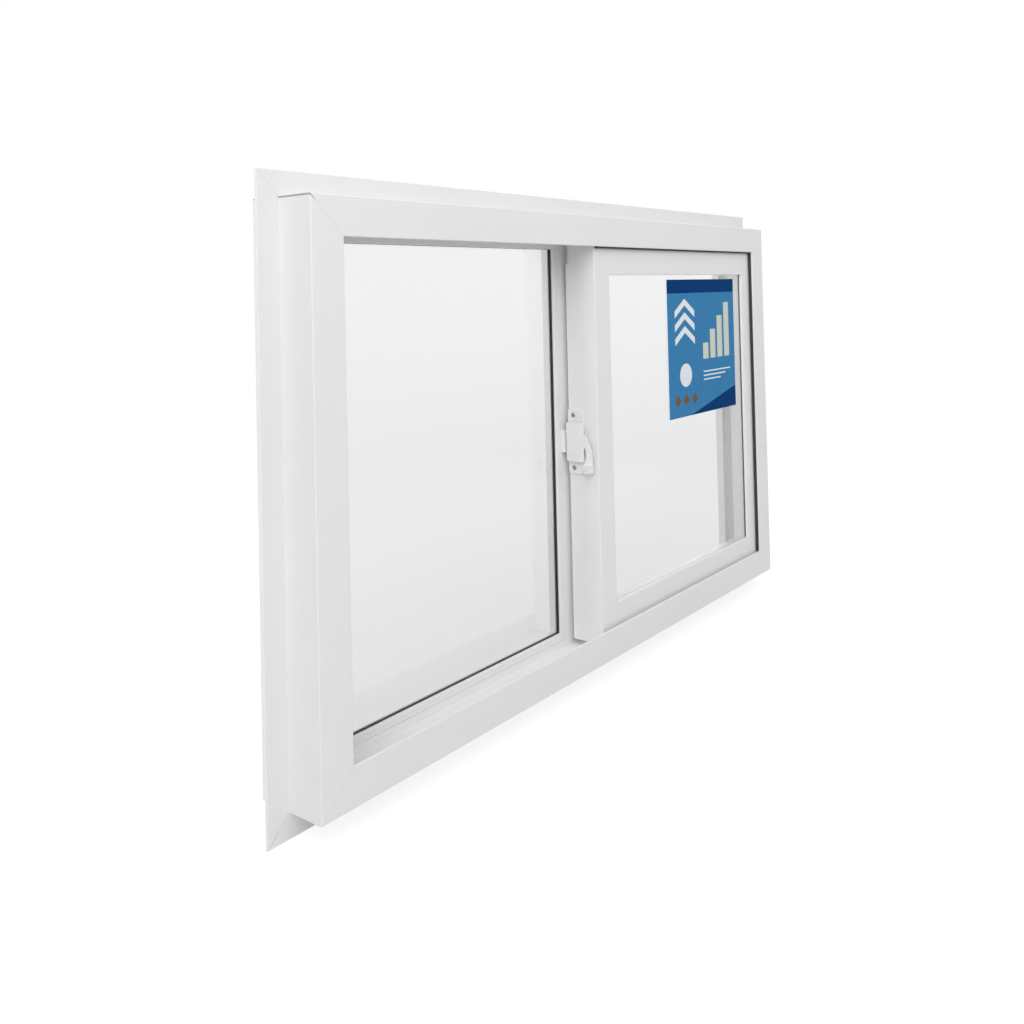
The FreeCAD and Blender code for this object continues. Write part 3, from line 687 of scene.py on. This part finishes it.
@dataclass
class LeverLock:
    """The lever lock on the meeting stile's side and its keeper."""

    nodes: tuple[str, ...] = ("lock_body", "lock_lever", "lock_keeper")
    plate_mm: float = 2.5
    screws: int = 2
    screw_spread_mm: float = 72.0
    screw_setback_mm: float = 9.5
    screw_sides: int = 28
    screw_radius_mm: float = 3.3
    screw_height_mm: float = 0.9
    # Shares of the head's height and radius
    screw_rim: float = 0.45
    screw_crown: float = 0.8
    slot_floor: float = 0.15
    slot_reach_mm: float = 1.9
    slot_half_mm: float = 0.45
    ribs: int = 5
    rib_pitch_mm: float = 2.4
    rib_height_mm: float = 1.2
    rib_half_mm: float = 0.75
    rib_crest_mm: float = 0.3
    rib_length_mm: float = 11.5
    rib_inset_mm: tuple[float, float] = (1.2, 2.0)

    def build(self, plastic: Material, steel: Material) -> None:
        """Dress the lock and add its screws and the ribs of its thumb piece.

        Args:
            plastic: The lock's moulded plastic.
            steel: The screws' plated steel.
        """
        dress(self.nodes, plastic)
        low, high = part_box("lock_body")
        middle = (low.z + high.z) / 2
        start = Vector((high.x - self.plate_mm * MM, high.y - self.screw_setback_mm * MM,
                        middle - self.screw_spread_mm * MM / 2))
        heads = Row(self.screws, start, Vector((0, 0, self.screw_spread_mm * MM)))
        add_piece("lock_screws", heads.bake("lock_screws", self.screw()), steel, Body.SASH)
        low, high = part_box("lock_lever")
        inset_y, inset_z = self.rib_inset_mm
        start = Vector((low.x, low.y + inset_y * MM, low.z + inset_z * MM))
        ridges = Row(self.ribs, start, Vector((0, 0, self.rib_pitch_mm * MM)))
        add_piece("thumb_ribs", ridges.bake("thumb_ribs", self.rib()), plastic, Body.LEVER)

    def screw(self) -> Mesh:
        """Make a low round head with a cross recess, facing -X.

        Returns:
            The head's mesh, with the middle of its foot at the origin.
        """
        radius, height = self.screw_radius_mm * MM, self.screw_height_mm * MM
        count = self.screw_sides
        turns = [math.tau * step / count for step in range(count)]
        rings = [(radius, 0.0), (radius, height * self.screw_rim),
                 (radius * self.screw_crown, height)]
        solid = Solid()
        for wide, rise in rings:
            solid.vertices += [Vector((-rise, wide * math.cos(turn), wide * math.sin(turn)))
                               for turn in turns]
        for level in range(len(rings) - 1):
            low, high = level * count, (level + 1) * count
            for step in range(count):
                follow = (step + 1) % count
                solid.add(low + step, high + step, high + follow, low + follow)
        first = len(solid.vertices)
        cross = self.cross()
        for depth in (height, height * self.slot_floor):
            solid.vertices += [Vector((-depth, y, z)) for y, z in cross]
        rim = list(range(first - count, first))
        hole = list(range(first, first + len(cross)))
        loops = [[solid.vertices[index] for index in loop] for loop in (rim, hole)]
        order = rim + hole
        for corners in tessellate_polygon(loops):
            solid.add(*(order[index] for index in corners))
        for step in range(len(cross)):
            near, far = hole[step], hole[(step + 1) % len(cross)]
            solid.add(near, far, far + len(cross), near + len(cross))
        solid.add(*(index + len(cross) for index in hole))
        return solid.mesh("screw")

    def cross(self) -> Outline:
        """Draw the outline of the cross recess.

        Returns:
            Its twelve corners, along Y and Z in metres.
        """
        reach, half = self.slot_reach_mm * MM, self.slot_half_mm * MM
        return [(reach, half), (half, half), (half, reach),
                (-half, reach), (-half, half), (-reach, half),
                (-reach, -half), (-half, -half), (-half, -reach),
                (half, -reach), (half, -half), (reach, -half)]

    def rib(self) -> Mesh:
        """Make one rib of the thumb piece, with sloping flanks, facing -X.

        Returns:
            The rib's mesh, with one end of its foot at the origin.
        """
        rise = self.rib_height_mm * MM
        half, crest = self.rib_half_mm * MM, self.rib_crest_mm * MM
        outline = [Vector((0.0, 0.0, -half)), Vector((-rise, 0.0, -crest)),
                   Vector((-rise, 0.0, crest)), Vector((0.0, 0.0, half))]
        solid = Solid()
        solid.prism(outline, Vector((0, self.rib_length_mm * MM, 0)))
        return solid.mesh("rib")


@dataclass
class SashSeals:
    """The black seals in front of the closed sash, each with a short fringe of pile toward it."""

    nodes: tuple[str, ...] = ("head_seal", "jamb_seal")
    fibre_mm: float = 1.0
    fibre_half_mm: float = 0.35
    fibre_spread_mm: float = 1.8
    pitch_mm: float = 1.6
    tilt: float = 0.16

    def build(self, rubber: Material, pile: Material) -> None:
        """Dress the seals and plant their fringes.

        Args:
            rubber: The seals' rubber.
            pile: The fringe's fibre.
        """
        dress(self.nodes, rubber)
        for name in self.nodes:
            low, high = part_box(name)
            span = high - low
            level = span.x > span.z
            run = Vector((span.x, 0, 0)) if level else Vector((0, 0, span.z))
            across = Vector((0, 0, 1)) if level else Vector((1, 0, 0))
            start = (low + high - run) / 2
            start.y = high.y
            count = int(run.length / (self.pitch_mm * MM))
            step = run / count
            row = Row(count, start + step / 2, step, self.tilt)
            fringe = row.bake(f"{name}_fringe", self.fibres(across, run.normalized()))
            add_piece(f"{name}_fringe", fringe, pile, Body.FRAME)

    def fibres(self, across: Vector, along: Vector) -> Mesh:
        """Make three fibres side by side, which stand along +Y.

        Args:
            across: The seal's width direction.
            along: The seal's run.

        Returns:
            The fibres' mesh.
        """
        half, tip = self.fibre_half_mm * MM, Vector((0, self.fibre_mm * MM, 0))
        solid = Solid()
        for place in (-1, 0, 1):
            foot = across * (self.fibre_spread_mm * MM * place)
            first = len(solid.vertices)
            base = [foot - along * half, foot + across * half,
                    foot + along * half, foot - across * half]
            count = len(base)
            solid.vertices += [*base, foot + tip]
            solid.add(*(first + step for step in reversed(range(count))))
            for step in range(count):
                solid.add(first + step, first + (step + 1) % count, first + count)
        return solid.mesh("fibres")


@dataclass
class GlassLabel:
    """A plain printed film on the sash glass: flat shapes and no lettering.

    Lengths without a unit are shares of the label's width and height.
    """

    width_mm: float = 222.0
    height_mm: float = 214.0
    from_right_mm: float = 34.0
    from_top_mm: float = 16.0
    glue_mm: float = 0.02
    film_mm: float = 0.15
    ink_mm: float = 0.06
    band_foot: float = 0.90
    wedge_left: float = 0.30
    wedge_rise: float = 0.16
    disc_middle: tuple[float, float] = (0.24, 0.30)
    disc_radius: float = 0.085
    disc_sides: int = 36
    chevron_count: int = 3
    chevron_sides: tuple[float, float] = (0.10, 0.38)
    chevron_foot: float = 0.52
    chevron_pitch: float = 0.10
    chevron_rise: float = 0.09
    chevron_thick: float = 0.05
    rule_count: int = 3
    rule_sides: tuple[float, float] = (0.50, 0.92)
    rule_foot: float = 0.30
    rule_pitch: float = 0.03
    rule_thick: float = 0.01
    rule_shorter: float = 0.08
    column_count: int = 4
    column_left: float = 0.50
    column_foot: float = 0.40
    column_top: float = 0.52
    column_pitch: float = 0.11
    column_wide: float = 0.08
    column_taller: float = 0.10
    tile_count: int = 3
    tile_middle: tuple[float, float] = (0.12, 0.12)
    tile_pitch: float = 0.12
    tile_half: float = 0.045

    def build(self, inks: dict[str, Material]) -> None:
        """Lay the film and its printed shapes.

        Args:
            inks: The inks by name.
        """
        film = self.sheet([self.block(0.0, 0.0, 1.0, 1.0)], on_film=False)
        add_piece("label_field", film.mesh("label_field"), inks["field"], Body.SASH)
        layers = {"dark": [self.block(0.0, self.band_foot, 1.0, 1.0), self.wedge()],
                  "pale": [*self.chevrons(), self.disc(), *self.rules()],
                  "cream": self.columns(),
                  "earth": self.tiles()}
        for ink, shapes in layers.items():
            name = f"label_{ink}"
            print_layer = self.sheet(shapes, on_film=True)
            add_piece(name, print_layer.mesh(name), inks[ink], Body.SASH)

    def sheet(self, shapes: list[Outline], on_film: bool) -> Solid:
        """Lay flat shapes as thin prisms on the glass.

        Args:
            shapes: The shapes' outlines.
            on_film: Whether they are ink on the film, or else the film itself.

        Returns:
            The shapes as one solid.
        """
        low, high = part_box("sash_glass")
        left = high.x - (self.from_right_mm + self.width_mm) * MM
        foot = high.z - (self.from_top_mm + self.height_mm) * MM
        back = low.y - (self.film_mm if on_film else self.glue_mm) * MM
        thick = self.ink_mm if on_film else self.film_mm - self.glue_mm
        wide, tall = self.width_mm * MM, self.height_mm * MM
        solid = Solid()
        for shape in shapes:
            outline = [Vector((left + across * wide, back, foot + up * tall))
                       for across, up in shape]
            solid.prism(outline, Vector((0, -thick * MM, 0)))
        return solid

    def block(self, left: float, low: float, right: float, high: float) -> Outline:
        """Draw a rectangle.

        Args:
            left: Left side.
            low: Lower side.
            right: Right side.
            high: Upper side.

        Returns:
            Its outline.
        """
        return [(left, low), (right, low), (right, high), (left, high)]

    def wedge(self) -> Outline:
        """Draw the dark corner at the lower right.

        Returns:
            Its outline.
        """
        return [(self.wedge_left, 0.0), (1.0, 0.0), (1.0, self.wedge_rise)]

    def disc(self) -> Outline:
        """Draw the disc under the chevrons.

        Returns:
            Its outline.
        """
        across, up = self.disc_middle
        turns = [math.tau * step / self.disc_sides for step in range(self.disc_sides)]
        return [(across + self.disc_radius * math.cos(turn), up + self.disc_radius * math.sin(turn))
                for turn in turns]

    def chevrons(self) -> list[Outline]:
        """Draw chevrons one above the other, on the left.

        Returns:
            Their outlines.
        """
        left, right = self.chevron_sides
        middle, shapes = (left + right) / 2, []
        for step in range(self.chevron_count):
            foot = self.chevron_foot + self.chevron_pitch * step
            lower = [(left, foot), (middle, foot + self.chevron_rise), (right, foot)]
            shapes.append(lower + [(across, up + self.chevron_thick) for across, up in lower[::-1]])
        return shapes

    def rules(self) -> list[Outline]:
        """Draw fine rules of falling length under the columns.

        Returns:
            Their outlines.
        """
        left, right = self.rule_sides
        shapes = []
        for step in range(self.rule_count):
            foot = self.rule_foot - self.rule_pitch * step
            shapes.append(self.block(left, foot, right - self.rule_shorter * step,
                                     foot + self.rule_thick))
        return shapes

    def columns(self) -> list[Outline]:
        """Draw columns of rising height, on the right.

        Returns:
            Their outlines.
        """
        shapes = []
        for step in range(self.column_count):
            left = self.column_left + self.column_pitch * step
            shapes.append(self.block(left, self.column_foot, left + self.column_wide,
                                     self.column_top + self.column_taller * step))
        return shapes

    def tiles(self) -> list[Outline]:
        """Draw diamonds along the lower left.

        Returns:
            Their outlines.
        """
        first, up = self.tile_middle
        half, shapes = self.tile_half, []
        for step in range(self.tile_count):
            across = first + self.tile_pitch * step
            shapes.append([(across - half, up), (across, up - half), (across + half, up),
                           (across, up + half)])
        return shapes


@dataclass(frozen=True)
class Lamp:
    """A large square lamp, in metres and watts.

    mirrored says whether glossy surfaces show its shape.
    """

    name: str
    place: Place
    side: float
    power: float
    target: Place = (0.0, 0.0, 0.30)
    mirrored: bool = True

    def hang(self) -> None:
        """Add the lamp to the scene, turned to its target."""
        data = bpy.data.lights.new(f"lamp_{self.name}", "AREA")
        data.size, data.energy = self.side, self.power
        lamp = bpy.data.objects.new(f"lamp_{self.name}", data)
        lamp.location = self.place
        aim = Vector(self.target) - Vector(self.place)
        lamp.rotation_euler = aim.to_track_quat("-Z", "Y").to_euler()
        # No lamp shows as a bright square through the panes
        lamp.visible_glossy, lamp.visible_transmission = self.mirrored, False
        bpy.context.scene.collection.objects.link(lamp)


LAMPS = (
    Lamp("key", place=(-2.6, -1.6, 1.9), side=2.4, power=40.0, target=(0.0, 0.0, 0.35)),
    Lamp("fill", place=(1.8, -2.4, 1.2), side=2.0, power=10.0, mirrored=False),
    Lamp("over", place=(-0.3, -1.9, 2.5), side=2.6, power=18.0),
    Lamp("high", place=(-1.5, -0.6, 2.6), side=2.2, power=21.0),
    Lamp("back", place=(-1.2, 2.8, 0.8), side=1.2, power=40.0, mirrored=False),
    Lamp("side", place=(2.3, 0.9, 0.7), side=1.6, power=22.0),
)


@dataclass
class Studio:
    """Floor, lamps, surroundings and camera, in metres and degrees."""

    floor_size: float = 14.0
    floor_colour: str = "#D8D8D8"
    # The floor that is seen near the window: a dull tone under a glow, so that a shadow shows
    floor_tone: str = "#8A8A8A"
    floor_glow: float = 0.82
    # Between these distances from the middle it turns plain white
    floor_fade: tuple[float, float] = (0.7, 2.0)
    white_glow: float = 1.0
    ambient: float = 0.34
    camera_place: Place = (-1.1039, -0.7911, 0.5141)
    camera_turn: float = 53.41
    camera_pitch: float = 1.175
    camera_roll: float = -1.352
    lens_mm: float = 34.24
    sensor_mm: float = 36.0
    shift: tuple[float, float] = (-0.0469, -0.2363)

    def build(self) -> None:
        """Set up the studio round the window."""
        self.add_floor()
        self.add_surroundings()
        for lamp in LAMPS:
            lamp.hang()
        self.add_camera()
        bpy.context.scene.view_settings.view_transform = "Standard"

    def add_floor(self) -> None:
        """Lay a plain pale floor that shows white and keeps a soft shadow."""
        mesh = bpy.data.meshes.new("studio_floor")
        half, level = self.floor_size / 2, CAD_BOX[0].z
        corners = [(-half, -half, level), (half, -half, level), (half, half, level),
                   (-half, half, level)]
        mesh.from_pydata(corners, [], [(0, 1, 2, 3)])
        floor = bpy.data.objects.new("studio_floor", mesh)
        bpy.context.scene.collection.objects.link(floor)
        mesh.materials.append(self.floor_surface())

    def floor_surface(self) -> Material:
        """Make the floor's material.

        Returns:
            The material.
        """
        material, tree = new_surface("pale_floor")
        matt = add_node(tree, "ShaderNodeBsdfDiffuse", {"Color": linear(self.floor_colour)})
        faint = add_node(tree, "ShaderNodeBsdfDiffuse", {"Color": linear(self.floor_tone)})
        glow = add_node(tree, "ShaderNodeEmission", {"Color": WHITE, "Strength": self.floor_glow})
        near = add_node(tree, "ShaderNodeAddShader", {0: faint.outputs[0], 1: glow.outputs[0]})
        far = add_node(tree, "ShaderNodeEmission", {"Color": WHITE, "Strength": self.white_glow})
        reach = add_node(tree, "ShaderNodeVectorMath", {0: own_place(tree)}, operation="LENGTH")
        fade = ease(tree, reach.outputs["Value"], *self.floor_fade)
        bright = mix_shaders(tree, fade, near, far)
        end_surface(tree, mix_shaders(tree, self.seen_ray(tree), matt, bright))
        return material

    def seen_ray(self, tree: NodeTree) -> NodeSocket:
        """Tell where the background is seen, also in gloss and through glass.

        Args:
            tree: The node tree that asks.

        Returns:
            A socket that is 1 where it is seen, and 0 where it only gives light.
        """
        path = add_node(tree, "ShaderNodeLightPath").outputs
        either = add_node(tree, "ShaderNodeMath",
                          {0: path["Is Camera Ray"], 1: path["Is Transmission Ray"]},
                          operation="MAXIMUM")
        seen = add_node(tree, "ShaderNodeMath", {0: either.outputs[0], 1: path["Is Glossy Ray"]},
                        operation="MAXIMUM")
        return seen.outputs[0]

    def add_surroundings(self) -> None:
        """Make the surroundings white to the eye and a soft grey as light."""
        world = bpy.data.worlds.new("studio")
        bpy.context.scene.world = world
        world.use_nodes = True
        tree = world.node_tree
        tree.nodes.clear()
        soft, white = (add_node(tree, "ShaderNodeBackground", {"Color": WHITE, "Strength": glow})
                       for glow in (self.ambient, self.white_glow))
        mixed = mix_shaders(tree, self.seen_ray(tree), soft, white)
        add_node(tree, "ShaderNodeOutputWorld", {"Surface": mixed.outputs[0]})

    def add_camera(self) -> None:
        """Stand the camera where the photograph was taken from."""
        data = bpy.data.cameras.new("camera")
        data.sensor_width, data.lens = self.sensor_mm, self.lens_mm
        data.shift_x, data.shift_y = self.shift
        turn, pitch = math.radians(self.camera_turn), math.radians(self.camera_pitch)
        ahead = Vector((math.sin(turn) * math.cos(pitch), math.cos(turn) * math.cos(pitch),
                        math.sin(pitch)))
        camera = bpy.data.objects.new("camera", data)
        camera.location = self.camera_place
        camera.rotation_mode = "QUATERNION"
        roll = Quaternion((0, 0, 1), math.radians(self.camera_roll))
        camera.rotation_quaternion = ahead.to_track_quat("-Z", "Y") @ roll
        bpy.context.scene.collection.objects.link(camera)
        bpy.context.scene.camera = camera


def main() -> None:
    """Dress the window and set up its studio."""
    logging.basicConfig(level=logging.INFO, format="%(name)s: %(message)s")
    across, up = (ExtrudedPvc(run).build() for run in Run)
    welded_across, welded_up = (ExtrudedPvc(run, welded=True).build() for run in Run)
    glass, rubber = FloatGlass().build(), RUBBER.build()
    OuterFrame().build(welded_across, welded_up)
    FixedPane().build(across, up, glass, rubber)
    SlidingSash().build(across, up, glass, rubber, NYLON.build())
    LeverLock().build(LOCK_PLASTIC.build(), ZINC.build())
    SashSeals().build(rubber, PILE.build())
    GlassLabel().build({name: ink.build() for name, ink in INKS.items()})
    Studio().build()


if __name__ == "__main__":
    main()
